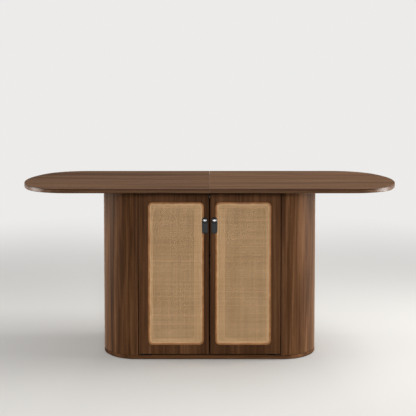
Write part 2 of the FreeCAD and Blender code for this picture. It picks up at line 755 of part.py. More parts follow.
def build_pivot_plates():
    """Make the four pivot plates with their pins, and the countersunk screws that hold them."""
    screws = []
    thick, bite = "dims.pivot_plate_thickness", "dims.pivot_screw_bite"
    for name, sign in SIDES.items():
        low, _ = span(sign, f"({PIVOT_X} + dims.pivot_plate_nose - dims.pivot_plate_length)",
                      f"({PIVOT_X} + dims.pivot_plate_nose)")
        x, y = times(sign, PIVOT_X), times(-1, PIVOT_Y)
        places = {
            "lower": (CARCASS_Z, CARCASS_Z, f"({CARCASS_Z} + {thick})", DOWN),
            "upper": (f"({TOP_BOARD_Z} - {thick})", f"({TOP_BOARD_Z} - {thick} - dims.pivot_pin_length)",
                      f"({TOP_BOARD_Z} - {thick})", UP),
        }
        for end, (plate_z, pin_z, face_z, axis) in places.items():
            plate = box("dims.pivot_plate_length", "dims.pivot_plate_width", thick,
                        at(low, f"{y} - dims.pivot_plate_width / 2", plate_z))
            pin = cylinder("dims.pivot_pin_diameter", f"{thick} + dims.pivot_pin_length", at(x, y, pin_z))
            holes = []
            for spot_x, spot_y in pivot_screw_spots(sign):
                holes.append(sunk_screw(spot_x, spot_y, face_z, thick, bite, axis, "dims.screw_clearance"))
                screws.append(sunk_screw(spot_x, spot_y, face_z, thick, bite, axis))
            keep(cut(fuse(plate, pin), holes), f"{name}_{end}_pivot_plate")
    group("pivot_plate_screws", screws)


def build_catch():
    """Make the double catch under the top board, its magnets and its screws."""
    front = f"(-({DOOR_BACK_Y} - dims.strike_thickness - dims.catch_gap))"
    foot = f"({TOP_BOARD_Z} - dims.catch_height)"
    body = box("dims.catch_length", "dims.catch_depth", "dims.catch_height",
               at("-dims.catch_length / 2", front, foot))
    size = ("dims.magnet_length", "dims.magnet_depth", "dims.magnet_height")
    tools, magnets = [], []
    for sign in (-1, 1):
        place = at(f"{times(sign, 'dims.strike_offset')} - dims.magnet_length / 2", front,
                   f"{STRIKE_Z} - dims.magnet_height / 2")
        tools.append(box(*size, place))
        magnets.append(box(*size, place))
    for x, y in catch_screw_spots():
        tools.append(cylinder(SCREW_HOLE, "dims.catch_height", at(x, y, foot)))
    keep(cut(body, tools), "catch_body")
    group("catch_magnets", magnets)
    length = "(dims.catch_height + dims.screw_bite)"
    group("catch_screws", [pan_screw(x, y, foot, length) for x, y in catch_screw_spots()])


# The doors

def build_door_frame(name, sign):
    """Make one routed door board: window, front recess for the cane, and the holes for its fittings."""
    body = new_body(f"{name}_door_frame")
    sketch = sketch_on(body, "XZ_Plane", DOOR_BACK_Y)
    draw_rectangle(sketch, span(sign, DOOR_NEAR, DOOR_FAR), (DOOR_Z, DOOR_TOP_Z))
    pad(body, sketch, "dims.door_thickness")
    front = value(times(-1, FACE_Y))
    ease_edges(body, "dims.door_edge_radius", lambda bounds: level(bounds.YMin, bounds.YMax, front))
    across, up = recess_bounds(sign, "0")
    sketch = sketch_on(body, "XZ_Plane", FACE_Y)
    draw_rectangle(sketch, across, up, "dims.recess_corner_radius")
    pocket(body, sketch, "dims.recess_depth")
    member = "dims.door_member_width"
    sketch = sketch_on(body, "XZ_Plane", FACE_Y)
    draw_rectangle(sketch, span(sign, f"({DOOR_NEAR} + {member})", f"({DOOR_FAR} - {member})"),
                   (f"({DOOR_Z} + {member})", f"({DOOR_TOP_Z} - {member})"), "dims.window_corner_radius")
    pocket(body, sketch, "dims.door_thickness")
    pivot = [(times(sign, PIVOT_X), times(-1, PIVOT_Y))]
    drill(body, "XY_Plane", DOOR_Z, pivot, "dims.bush_diameter", "dims.bush_length", forward=True)
    drill(body, "XY_Plane", DOOR_TOP_Z, pivot, "dims.bush_diameter", "dims.bush_length")
    stud = [(times(sign, PULL_X), STUD_Z)]
    drill(body, "XZ_Plane", FACE_Y, stud, "dims.post_diameter", "dims.door_thickness")
    strike = [(times(sign, "dims.strike_offset"), STRIKE_Z)]
    depth = "(dims.strike_screw_bite + dims.dowel_end_gap)"
    drill(body, "XZ_Plane", DOOR_BACK_Y, strike, PIVOT_SCREW_HOLE, depth, forward=True)


def recess_bounds(sign, inset):
    """Return the bounds of the front recess, made smaller all round by an inset."""
    across = span(sign, f"({DOOR_NEAR} + dims.recess_meeting_margin + {inset})",
                  f"({DOOR_FAR} - dims.recess_hinge_margin - {inset})")
    return across, (f"({DOOR_Z} + dims.recess_foot_margin + {inset})",
                    f"({DOOR_TOP_Z} - dims.recess_rail_margin - {inset})")


def build_cane(name, sign):
    """Make the cane sheet in the recess and the bead that holds its edge."""
    floor = f"({FACE_Y} - dims.recess_depth)"
    face = f"({floor} + dims.cane_thickness)"
    body = new_body(f"{name}_cane_panel")
    sketch = sketch_on(body, "XZ_Plane", floor)
    across, up = recess_bounds(sign, "dims.cane_clearance")
    draw_rectangle(sketch, across, up, "(dims.recess_corner_radius - dims.cane_clearance)")
    pad(body, sketch, "dims.cane_thickness")
    body = new_body(f"{name}_cane_bead")
    sketch = sketch_on(body, "XZ_Plane", face)
    draw_rectangle(sketch, across, up, "(dims.recess_corner_radius - dims.cane_clearance)")
    inset = "(dims.cane_clearance + dims.bead_width)"
    across, up = recess_bounds(sign, inset)
    draw_rectangle(sketch, across, up, f"(dims.recess_corner_radius - {inset})")
    pad(body, sketch, "dims.bead_height")
    front = value(f"-({face} + dims.bead_height)")
    ease_edges(body, "dims.bead_round", lambda bounds: level(bounds.YMin, bounds.YMax, front))


def build_pull(name, sign):
    """Make the leather tab, the domed stud through it and the nut behind the door."""
    body = new_body(f"{name}_pull")
    half = "(dims.pull_width / 2)"
    foot = "dims.pull_foot_radius"
    middle = times(sign, PULL_X)
    left, right = f"({middle} - {half})", f"({middle} + {half})"
    points = [
        (f"({left} + {foot})", PULL_FOOT_Z), (f"({right} - {foot})", PULL_FOOT_Z),
        (right, f"({PULL_FOOT_Z} + {foot})"), (right, f"({PULL_HEAD_Z} - {half})"), (middle, PULL_HEAD_Z),
        (left, f"({PULL_HEAD_Z} - {half})"), (left, f"({PULL_FOOT_Z} + {foot})"),
    ]
    sketch = sketch_on(body, "XZ_Plane", FACE_Y)
    draw_loop(sketch, points, {1: (foot, 1), 3: (half, 1), 4: (half, 1), 6: (foot, 1)})
    pad(body, sketch, "dims.pull_thickness")
    front = value(f"-({FACE_Y} + dims.pull_thickness)")
    ease_edges(body, "dims.pull_edge_radius", lambda bounds: level(bounds.YMin, bounds.YMax, front))
    drill(body, "XZ_Plane", f"({FACE_Y} + dims.pull_thickness)", [(middle, STUD_Z)],
          "dims.post_diameter", "dims.pull_thickness")
    build_stud(name, middle)
    place = at(middle, f"-{DOOR_BACK_Y} + dims.nut_height", STUD_Z)
    nut = cylinder("dims.nut_diameter", "dims.nut_height", place, FRONT)
    bore = cylinder("dims.post_diameter", "dims.nut_height", place, FRONT)
    keep(cut(nut, [bore]), f"{name}_pull_nut")


def build_stud(name, middle):
    """Make the stud by turning its half section about the middle line of its post."""
    body = new_body(f"{name}_pull_stud")
    bind(body, at(middle, f"-({FACE_Y} + dims.pull_thickness)", STUD_Z))
    head, post = "(dims.stud_diameter / 2)", "(dims.post_diameter / 2)"
    end = "(dims.pull_thickness + dims.door_thickness + dims.nut_height)"
    rise = "(dims.stud_height - dims.stud_rim)"
    dome = f"((pow({head}; 2) + pow({rise}; 2)) / (2 * {rise}))"
    points = [("0", "-dims.stud_height"), (head, "-dims.stud_rim"), (head, "0"), (post, "0"),
              (post, end), ("0", end)]
    sketch = sketch_on(body, "XY_Plane")
    draw_loop(sketch, points, {0: (dome, 1)})
    feature = body.newObject("PartDesign::Revolution", f"{body.Name}_turning")
    feature.Profile = sketch
    feature.ReferenceAxis = (sketch, ["V_Axis"])


def build_bushes(name, sign):
    """Make the flanged bushes in the lower and upper edge of a door."""
    x, y = times(sign, PIVOT_X), times(-1, PIVOT_Y)
    bore = "(dims.pivot_pin_diameter + 2 * dims.pivot_clearance)"
    ends = (("lower", DOOR_Z, UP, DOWN, "dims.bush_foot_thickness"),
            ("upper", DOOR_TOP_Z, DOWN, UP, "dims.bush_flange_thickness"))
    for end, level_z, axis, flange_axis, thickness in ends:
        place = at(x, y, level_z)
        stem = cylinder("dims.bush_diameter", "dims.bush_length", place, axis)
        flange = cylinder("dims.bush_flange_diameter", thickness, place, flange_axis)
        way = cylinder(bore, "dims.bush_length", place, axis)
        mouth = cylinder(bore, thickness, place, flange_axis)
        keep(cut(fuse(stem, flange), [way, mouth]), f"{name}_{end}_bush")


def build_strike(name, sign):
    """Make the strike plate behind the door's free corner, and its screw."""
    x = times(sign, "dims.strike_offset")
    back = f"(-({DOOR_BACK_Y}) + dims.strike_thickness)"
    plate = box("dims.strike_length", "dims.strike_thickness", "dims.strike_height",
                at(f"{x} - dims.strike_length / 2", f"-({DOOR_BACK_Y})", f"{STRIKE_Z} - dims.strike_height / 2"))
    screw = ("dims.strike_thickness", "dims.strike_screw_bite", FRONT)
    hole = sunk_screw(x, back, STRIKE_Z, *screw, "dims.screw_clearance")
    keep(cut(plate, [hole]), f"{name}_strike_plate")
    keep(sunk_screw(x, back, STRIKE_Z, *screw), f"{name}_strike_screw")


def write_nodes():
    """Check every object of the document and write one file for each node."""
    doc.recompute()
    for item in doc.Objects:
        if "Invalid" in item.State or "Error" in item.State:
            raise RuntimeError(f"{item.Label} is {item.State}")
    os.makedirs("parts", exist_ok=True)
    for item in nodes:
        shape = item.Shape
        if shape.isNull() or not shape.isValid() or not shape.Solids:
            raise RuntimeError(f"{item.Label} has no valid solid")
        shape.exportStep(f"parts/{item.Label}.step")
        print(item.Label, len(shape.Solids), round(shape.Volume))


for side_name, side_sign in SIDES.items():
    build_top_half(side_name, side_sign)
build_top_fittings()
build_boards()
for side_name, side_sign in SIDES.items():
    build_end_shell(side_name, side_sign)
    build_battens(side_name, side_sign)
    build_side_panel(side_name, side_sign)
build_back_and_shelf()
build_carcass_fittings()
build_glides()
build_pivot_plates()
build_catch()
for side_name, side_sign in SIDES.items():
    build_door_frame(side_name, side_sign)
    build_cane(side_name, side_sign)
    build_pull(side_name, side_sign)
    build_bushes(side_name, side_sign)
    build_strike(side_name, side_sign)
write_nodes()
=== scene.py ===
"""Looks of a long kitchen table on a round-ended storage cabinet with cane doors."""

import logging
import math
from dataclasses import dataclass
from enum import Enum
from typing import Any, Callable, Iterable, Sequence

import bpy
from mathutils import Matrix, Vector


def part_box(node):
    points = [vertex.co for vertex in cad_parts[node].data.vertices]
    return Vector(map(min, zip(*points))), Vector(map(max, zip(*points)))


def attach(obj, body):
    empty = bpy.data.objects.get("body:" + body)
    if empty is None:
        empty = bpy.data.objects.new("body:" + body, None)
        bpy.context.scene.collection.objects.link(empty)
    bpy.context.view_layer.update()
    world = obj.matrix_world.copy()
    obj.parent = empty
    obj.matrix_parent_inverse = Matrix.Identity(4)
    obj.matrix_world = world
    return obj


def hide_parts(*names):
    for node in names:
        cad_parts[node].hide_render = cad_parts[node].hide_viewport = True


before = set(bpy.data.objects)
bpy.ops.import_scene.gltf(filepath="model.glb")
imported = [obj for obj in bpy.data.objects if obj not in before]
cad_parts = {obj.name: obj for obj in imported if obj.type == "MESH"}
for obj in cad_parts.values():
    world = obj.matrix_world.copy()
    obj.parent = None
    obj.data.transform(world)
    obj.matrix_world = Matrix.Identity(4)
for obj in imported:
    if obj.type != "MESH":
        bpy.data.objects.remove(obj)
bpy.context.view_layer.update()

LOG = logging.getLogger("kitchen_table")
MM = 0.001

# Where a noise pattern is about at its lowest and at its highest
NOISE_LOW = 0.3
NOISE_HIGH = 0.7

# How far a seed moves a pattern along X, Y and Z
SEED_SHARES = (1.0, 0.37, 0.61)


class Grain(Enum):
    """The way the wood grain runs, as the stretch of the pattern along X, Y and Z."""

    LENGTHWISE = (0.022, 1.0, 1.0)
    UPRIGHT = (1.0, 1.0, 0.022)

    @property
    def across(self) -> tuple[float, float, float]:
        """Return the weights of X, Y and Z that count growth lines across the grain."""
        return (0.0, 1.0, 0.4) if self is Grain.LENGTHWISE else (1.0, 0.55, 0.0)


class Side(Enum):
    """The two doors, with the direction from the middle of the cabinet."""

    LEFT = -1
    RIGHT = 1

    @property
    def word(self) -> str:
        """Return the side's word in node names."""
        return self.name.lower()


class Run(Enum):
    """The way a strand runs, as the stretch of its pattern along X, Y and Z."""

    UP = (1.0, 1.0, 0.012)
    ACROSS = (0.012, 1.0, 1.0)
    AROUND = (0.2, 1.0, 0.2)


@dataclass(frozen=True)
class Tone:
    """A colour as it looks on a screen, each part from 0 to 255."""

    red: float
    green: float
    blue: float

    @property
    def linear(self) -> tuple[float, float, float, float]:
        """Return the colour as a shader takes it."""
        parts = []
        for part in (self.red, self.green, self.blue):
            share = part / 255.0
            parts.append(share / 12.92 if share <= 0.04045 else ((share + 0.055) / 1.055) ** 2.4)
        return (*parts, 1.0)

    def scaled(self, factor: float) -> "Tone":
        """Return a lighter or darker tone of the same hue."""
        return Tone(self.red * factor, self.green * factor, self.blue * factor)


class Field:
    """A number that varies over a surface, with Python's operators for its maths."""

    def __init__(self, graph: "Graph", socket: bpy.types.NodeSocket) -> None:
        """Wrap an output socket.

        Args:
            graph: The graph that the socket belongs to.
            socket: The output that carries the number.
        """
        self.graph = graph
        self.socket = socket

    def _math(self, operation: str, first: Any, second: Any = 0.0) -> "Field":
        """Add one Math node.

        Args:
            operation: The node's operation.
            first: The first number or field.
            second: The second number or field.

        Returns:
            The result as a field.
        """
        node = self.graph.node("ShaderNodeMath", {"operation": operation}, {0: first, 1: second})
        return Field(self.graph, node.outputs[0])

    def __add__(self, other: Any) -> "Field":
        """Return the sum."""
        return self._math("ADD", self, other)

    __radd__ = __add__

    def __sub__(self, other: Any) -> "Field":
        """Return the difference."""
        return self._math("SUBTRACT", self, other)

    def __rsub__(self, other: Any) -> "Field":
        """Return the difference the other way round."""
        return self._math("SUBTRACT", other, self)

    def __mul__(self, other: Any) -> "Field":
        """Return the product."""
        return self._math("MULTIPLY", self, other)

    __rmul__ = __mul__

    def __gt__(self, other: Any) -> "Field":
        """Return 1 where this is the greater."""
        return self._math("GREATER_THAN", self, other)

    def __lt__(self, other: Any) -> "Field":
        """Return 1 where this is the smaller."""
        return self._math("LESS_THAN", self, other)

    def __or__(self, other: Any) -> "Field":
        """Return the greater of the two."""
        return self._math("MAXIMUM", self, other)

    def __abs__(self) -> "Field":
        """Return the size without its sign."""
        return self._math("ABSOLUTE", self)

    def sine(self) -> "Field":
        """Return the sine."""
        return self._math("SINE", self)

    def root(self) -> "Field":
        """Return the square root."""
        return self._math("SQRT", self)

    def step(self, low: float, high: float) -> "Field":
        """Return a soft step from 0 at the low value to 1 at the high value.

        Args:
            low: Where the step starts.
            high: Where the step ends.

        Returns:
            The step as a field.
        """
        settings = {"interpolation_type": "SMOOTHSTEP"}
        inputs = {"Value": self, "From Min": low, "From Max": high}
        return Field(self.graph, self.graph.node("ShaderNodeMapRange", settings, inputs).outputs[0])


class Graph:
    """A node tree with one method that makes its nodes."""

    def __init__(self, tree: bpy.types.NodeTree) -> None:
        """Empty a tree.

        Args:
            tree: The tree to draw in.
        """
        self.tree = tree
        self.tree.nodes.clear()

    def node(self, kind: str, settings: dict[str, Any] | None = None,
             inputs: dict[str | int, Any] | None = None) -> bpy.types.Node:
        """Add a node.

        Args:
            kind: The node's type.
            settings: Its properties; "stops" holds the places and tones of a ramp.
            inputs: Numbers, colours, fields or sockets by the input's name or number.

        Returns:
            The node.
        """
        node = self.tree.nodes.new(kind)
        for name, setting in (settings or {}).items():
            if name == "stops":
                self._set_stops(node, setting)
            else:
                setattr(node, name, setting)
        self.feed(node, inputs or {})
        return node

    def feed(self, node: bpy.types.Node, inputs: dict[str | int, Any]) -> None:
        """Give a node's sockets their numbers, colours or links.

        Args:
            node: The node.
            inputs: Entries by the input's name or number.
        """
        for name, entry in inputs.items():
            if isinstance(entry, Field):
                entry = entry.socket
            if isinstance(entry, bpy.types.NodeSocket):
                self.tree.links.new(entry, node.inputs[name])
            else:
                node.inputs[name].default_value = entry

    @staticmethod
    def _set_stops(node: bpy.types.Node, stops: Sequence[tuple[float, Tone]]) -> None:
        """Give a ramp its stops.

        Args:
            node: The ramp.
            stops: Places from 0 to 1 with their tones.
        """
        elements = node.color_ramp.elements
        while len(elements) < len(stops):
            elements.new(1.0)
        for element, (place, tone) in zip(elements, stops):
            element.position = place
            element.color = tone.linear

    def place(self, scale: Sequence[float] = (1, 1, 1),
              offset: Sequence[float] = (0, 0, 0)) -> bpy.types.NodeSocket:
        """Return the piece's own coordinates in metres, scaled and moved.

        Args:
            scale: The factor each way.
            offset: What is added after scaling.

        Returns:
            The coordinates' socket.
        """
        source = self.node("ShaderNodeTexCoord").outputs["Object"]
        inputs = {"Vector": source, "Scale": scale, "Location": offset}
        return self.node("ShaderNodeMapping", {}, inputs).outputs[0]

    def axes(self) -> tuple[Field, Field, Field]:
        """Return X, Y and Z of the piece's own coordinates."""
        source = self.node("ShaderNodeTexCoord").outputs["Object"]
        split = self.node("ShaderNodeSeparateXYZ", {}, {0: source})
        return tuple(Field(self, split.outputs[number]) for number in range(3))

    def noise(self, where: bpy.types.NodeSocket, scale: float, detail: float = 2.0,
              roughness: float = 0.5, distortion: float = 0.0) -> Field:
        """Return a soft random pattern.

        Args:
            where: The coordinates.
            scale: Cells per metre.
            detail: How many finer layers are added.
            roughness: How strong the finer layers are.
            distortion: How much the pattern is stirred.

        Returns:
            The pattern, about 0.5 on average.
        """
        inputs = {"Vector": where, "Scale": scale, "Detail": detail, "Roughness": roughness,
                  "Distortion": distortion}
        return Field(self, self.node("ShaderNodeTexNoise", {}, inputs).outputs[0])

    def ramp(self, factor: Field, *stops: tuple[float, Tone]) -> bpy.types.NodeSocket:
        """Return a colour read from a row of stops.

        Args:
            factor: Where to read, from 0 to 1.
            stops: Places with their tones.

        Returns:
            The colour's socket.
        """
        return self.node("ShaderNodeValToRGB", {"stops": stops}, {0: factor}).outputs[0]

    def mix(self, factor: Any, first: Any, second: Any) -> bpy.types.NodeSocket:
        """Return a mix of two colours.

        Args:
            factor: How much of the second colour.
            first: A colour or its socket.
            second: A colour or its socket.

        Returns:
            The mixed colour's socket.
        """
        inputs = {0: factor, 6: first, 7: second}
        return self.node("ShaderNodeMix", {"data_type": "RGBA"}, inputs).outputs[2]


class Paint(Graph):
    """A material's node tree with a Principled shader at its end."""

    def __init__(self, name: str) -> None:
        """Start a material.

        Args:
            name: The material's name.
        """
        self.material = bpy.data.materials.new(name)
        self.material.use_nodes = True
        super().__init__(self.material.node_tree)
        self.shader = self.node("ShaderNodeBsdfPrincipled")
        self.output = self.node("ShaderNodeOutputMaterial", {}, {"Surface": self.shader.outputs[0]})

    def set(self, **inputs: Any) -> None:
        """Give the shader's sockets their entries, named with _ for a space."""
        self.feed(self.shader, {name.replace("_", " "): entry for name, entry in inputs.items()})

    def bump(self, height: Field, strength: float, distance: float) -> None:
        """Press a height pattern into the surface.

        Args:
            height: The pattern.
            strength: How strong, from 0 to 1.
            distance: The depth in metres that a step of 1 stands for.
        """
        inputs = {"Height": height, "Strength": strength, "Distance": distance}
        self.set(Normal=self.node("ShaderNodeBump", {}, inputs).outputs[0])


@dataclass(frozen=True)
class Veneer:
    """Oiled walnut veneer: broad figure, growth lines, streaks and fine open pores."""

    name: str
    grain: Grain
    deep: Tone = Tone(44, 24, 11)
    dark: Tone = Tone(64, 39, 21)
    middle: Tone = Tone(89, 58, 35)
    pale: Tone = Tone(127, 89, 60)
    roughness: float = 0.66
    gloss: float = 0.06
    gloss_tone: Tone = Tone(255, 255, 255)
    shine: float = 0.24
    seed: float = 0.0
    forward: float = 10.0 * MM
    figure_scale: float = 8.0
    streak_scale: float = 105.0
    fine_scale: float = 600.0
    pore_scale: float = 2400.0
    line_count: float = 230.0
    line_wander: float = 30.0
    line_depth: float = 0.016
    figure_depth: float = 0.5
    streak_depth: float = 0.42
    fine_depth: float = 0.16
    sweep: float = 0.07
    contrast: float = 0.88
    stops: tuple[float, float, float, float] = (0.36, 0.44, 0.52, 0.66)
    pore_edge: tuple[float, float] = (0.58, 0.68)
    pore_cover: float = 0.55
    pore_shade: float = 0.75
    pore_depth: float = 0.2
    bloom: float = 0.0
    bloom_roughness: float = 0.3
    bloom_tone: Tone = Tone(236, 208, 180)
    relief: float = 0.14
    relief_depth: float = 0.5 * MM

    def wood(self, paint: Paint) -> tuple[bpy.types.NodeSocket, Field]:
        """Draw the grain.

        Args:
            paint: The material to draw in.

        Returns:
            The colour's socket, and the grain as a field.
        """
        x, y, z = (self.seed * share for share in SEED_SHARES)
        where = paint.place(self.grain.value, (x, y + self.forward, z))
        sweep = [1.0 if part == 1.0 else self.sweep for part in self.grain.value]
        broad = paint.place(sweep, (self.seed, self.seed + self.forward, self.seed))
        figure = paint.noise(broad, self.figure_scale, distortion=0.4)
        streaks = paint.noise(where, self.streak_scale, detail=3.0, roughness=0.62, distortion=0.25)
        fine = paint.noise(where, self.fine_scale, roughness=0.6)
        pores = paint.noise(where, self.pore_scale, detail=1.0)
        weights = [weight * self.line_count for weight in self.grain.across]
        across = sum((axis * weight for axis, weight in zip(paint.axes(), weights) if weight),
                     start=weights[1] * self.forward)
        lines = (across + figure * self.line_wander).sine()
        grain = figure * self.figure_depth + streaks * self.streak_depth + fine * self.fine_depth
        grain = grain + lines * self.line_depth
        grain = grain - (self.figure_depth + self.streak_depth + self.fine_depth) / 2
        grain = grain * self.contrast + 0.5
        colour = paint.ramp(grain, *zip(self.stops, (self.deep, self.dark, self.middle, self.pale)))
        dashes = pores.step(*self.pore_edge) * self.pore_cover
        colour = paint.mix(dashes, colour, self.deep.scaled(self.pore_shade).linear)
        return colour, grain - dashes * self.pore_depth

    def finish(self, paint: Paint, colour: bpy.types.NodeSocket, grain: Field) -> bpy.types.Material:
        """Give the wood its satin oil finish.

        Args:
            paint: The material.
            colour: The wood's colour.
            grain: The grain as a field.

        Returns:
            The material.
        """
        paint.set(Base_Color=colour, Roughness=self.roughness + self.shine / 2 - grain * self.shine)
        paint.set(Specular_IOR_Level=self.gloss, Specular_Tint=self.gloss_tone.linear)
        paint.set(Sheen_Weight=self.bloom, Sheen_Roughness=self.bloom_roughness,
                  Sheen_Tint=self.bloom_tone.linear)
        paint.bump(grain, self.relief, self.relief_depth)
        return paint.material

    def make(self) -> bpy.types.Material:
        """Return the finished material."""
        paint = Paint(self.name)
        return self.finish(paint, *self.wood(paint))


@dataclass(frozen=True)
class FootedVeneer(Veneer):
    """Veneer on a curved end or on the plinth: a thin line of painted shade runs along its foot, for the
    shadow in the joint and under the base.
    """

    foot: float = 0.0
    joint: float = 2.0 * MM
    joint_edge: tuple[float, float] = (0.6, 1.2)
    joint_cover: float = 0.8
    # painted shade: the near-black tone of the painted shadow line along the foot
    painted_shade_and_stain: Tone = Tone(30, 17, 9)

    def make(self) -> bpy.types.Material:
        """Return the finished material."""
        paint = Paint(self.name)
        colour, grain = self.wood(paint)
        _, _, up = paint.axes()
        start, end = (self.foot + share * self.joint for share in self.joint_edge)
        # Painted shadow: the lowest few millimetres are darkened where the joint and the gap under the base
        # lie in shade
        line = (1.0 - up.step(start, end)) * self.joint_cover
        return self.finish(paint, paint.mix(line, colour, self.painted_shade_and_stain.linear), grain)


@dataclass(frozen=True)
class EdgedVeneer(Veneer):
    """Veneer on a table half: painted shade on the upper arris and darkening up the edge, seam rubbed pale,
    end of the edge polished.
    """

    floor: float = 0.0
    face: float = 0.0
    lip: float = 1.0 * MM
    arris: float = 5.6 * MM
    arris_cover: float = 0.95
    fade_cover: float = 0.2
    rub: float = 2.4 * MM
    rub_depth: float = 0.1 * MM
    rub_cover: float = 0.28
    polish: tuple[float, float] = (0.58, 0.72)
    wax: float = 0.1
    polished_wax: float = 0.32
    wax_roughness: float = 0.3
    # painted shade: the dark tone of the painted shading on the rounded upper arris and up the edge
    painted_shade_and_stain: Tone = Tone(48, 23, 9)
    rubbed: Tone = Tone(150, 122, 98)

    def make(self) -> bpy.types.Material:
        """Return the finished material."""
        paint = Paint(self.name)
        colour, grain = self.wood(paint)
        east, _, up = paint.axes()
        band = up < self.face - self.lip
        # Painted shade: a dark band under the rounded upper arris, and the edge painted darker towards its
        # top
        upper = up.step(self.face - self.arris, self.face - 0.8 * self.arris) * band
        fade = up.step(self.floor, self.face) * band
        colour = paint.mix(upper * self.arris_cover | fade * self.fade_cover, colour, self.painted_shade_and_stain.linear)
        seam = (1.0 - abs(east).step(0.3 * self.rub, self.rub)) * (up > self.face - self.rub_depth)
        colour = paint.mix(seam * self.rub_cover, colour, self.rubbed.linear)
        material = self.finish(paint, colour, grain)
        wax = abs(east).step(*self.polish) * self.polished_wax + self.wax
        paint.set(Coat_Weight=band * wax, Coat_Roughness=self.wax_roughness)
        return material


@dataclass(frozen=True)
class RoutedVeneer(Veneer):
    """Veneer on a door board: painted shade darkens its edges and a strip by the meeting edge, its routed
    recess and window showing the core.
    """

    core: Tone = Tone(220, 182, 138)
    core_shade: float = 0.82
    speck_scale: float = 900.0
    # painted shade: the dark tone painted on the door's edges and meeting strip to darken the gaps
    painted_shade_and_stain: Tone = Tone(24, 14, 8)
    board: tuple[Vector, Vector] = (Vector(), Vector())
    recess: tuple[Vector, Vector] = (Vector(), Vector())
    edge: float = 0.6 * MM
    meeting: float = 1.1 * MM

    def make(self) -> bpy.types.Material:
        """Return the finished material."""
        paint = Paint(self.name)
        colour, grain = self.wood(paint)
        east, north, up = paint.axes()
        # Painted shade: the top and bottom edges and a strip along the meeting edge are darkened so the
        # gaps read as shadow
        rim = (up < self.board[0].z + self.edge) | (up > self.board[1].z - self.edge)
        rim = rim | (abs(east) < min(abs(corner.x) for corner in self.board) + self.meeting)
        colour = paint.mix(rim, colour, self.painted_shade_and_stain.linear)
        inside = (north > self.board[0].y + self.edge) * (north < self.board[1].y - self.edge)
        low, high = self.recess
        for axis, start, end in ((east, low.x, high.x), (up, low.z, high.z)):
            inside = inside * (axis > start - self.edge) * (axis < end + self.edge)
        speck = paint.noise(paint.place(), self.speck_scale)
        core = paint.ramp(speck, (NOISE_LOW, self.core.scaled(self.core_shade)), (NOISE_HIGH, self.core))
        return self.finish(paint, paint.mix(inside, colour, core), grain)


@dataclass(frozen=True)
class Strand:
    """Split cane or reed: pale, satin, a little uneven from strand to strand."""

    name: str
    run: Run
    pale: Tone = Tone(241, 198, 148)
    deep: Tone = Tone(204, 161, 112)
    roughness: float = 0.5
    gloss: float = 0.3
    shine: float = 0.2
    strand_scale: float = 170.0
    fibre_scale: float = 2600.0
    painted_shade_and_stain_scale: float = 9.0
    shares: tuple[float, float, float] = (0.55, 0.25, 0.2)
    stops: tuple[float, float] = (0.36, 0.64)
    relief: float = 0.25
    relief_depth: float = 0.2 * MM

    def make(self) -> bpy.types.Material:
        """Return the finished material."""
        paint = Paint(self.name)
        where = paint.place(self.run.value)
        strands = paint.noise(where, self.strand_scale, detail=1.0)
        fibre = paint.noise(where, self.fibre_scale)
        painted_shade_and_stain = paint.noise(paint.place(), self.painted_shade_and_stain_scale, detail=3.0)
        strand_share, fibre_share, stain_share = self.shares
        shade = strands * strand_share + fibre * fibre_share + painted_shade_and_stain * stain_share
        colour = paint.ramp(shade, *zip(self.stops, (self.deep, self.pale)))
        paint.set(Base_Color=colour, Roughness=self.roughness + (fibre - 0.5) * self.shine,
                  Specular_IOR_Level=self.gloss)
        paint.bump(fibre, self.relief, self.relief_depth)
        return paint.material


@dataclass(frozen=True)
class Leather:
    """Charcoal saddle leather with a fine pebble, with painted shade in a ring round the stud where it dips
    in.
    """

    name: str
    centre: Vector
    ring: float
    hide: Tone = Tone(42, 44, 45)
    # painted shade: the near-black tone painted in a ring round the stud
    painted_stud_shade: Tone = Tone(6, 6, 7)
    pebble_scale: float = 1500.0
    cloud_scale: float = 110.0
    cloud_shades: tuple[float, float] = (0.84, 1.1)
    ring_edge: float = 0.75
    roughness: float = 0.46
    shine: float = 0.2
    gloss: float = 0.2
    relief: float = 0.3
    relief_depth: float = 0.25 * MM

    def make(self) -> bpy.types.Material:
        """Return the finished material."""
        paint = Paint(self.name)
        inputs = {"Vector": paint.place(), "Scale": self.pebble_scale}
        cells = paint.node("ShaderNodeTexVoronoi", {"feature": "F1"}, inputs)
        pebble = Field(paint, cells.outputs[0])
        cloud = paint.noise(paint.place(), self.cloud_scale, detail=3.0)
        dark, light = (self.hide.scaled(shade) for shade in self.cloud_shades)
        hide = paint.ramp(cloud, (NOISE_LOW, dark), (NOISE_HIGH, light))
        east, _, up = paint.axes()
        across = east - self.centre.x
        rise = up - self.centre.z
        away = (across * across + rise * rise).root()
        # Painted shade: the leather is darkened in a ring round the stud, where it dips in
        near = 1.0 - away.step(self.ring_edge * self.ring, self.ring)
        paint.set(Base_Color=paint.mix(near, hide, self.painted_stud_shade.linear),
                  Roughness=self.roughness + cloud * self.shine, Specular_IOR_Level=self.gloss)
        paint.bump(1.0 - pebble, self.relief, self.relief_depth)
        return paint.material


@dataclass(frozen=True)
class Metal:
    """Plated metal with a faint polish pattern."""

    name: str
    tone: Tone
    roughness: float
    spread: float = 0.06
    cloud_scale: float = 260.0
    cloud_shade: float = 0.9
    brush_scale: float = 2600.0
    brush: tuple[float, float, float] = (1, 1, 0.1)

    def make(self) -> bpy.types.Material:
        """Return the finished material."""
        paint = Paint(self.name)
        cloud = paint.noise(paint.place(), self.cloud_scale, detail=3.0)
        fine = paint.noise(paint.place(self.brush), self.brush_scale)
        dark = self.tone.scaled(self.cloud_shade)
        colour = paint.ramp(cloud, (NOISE_LOW, dark), (NOISE_HIGH, self.tone))
        paint.set(Base_Color=colour, Metallic=1.0,
                  Roughness=self.roughness + (cloud + fine - 1.0) * self.spread)
        return paint.material


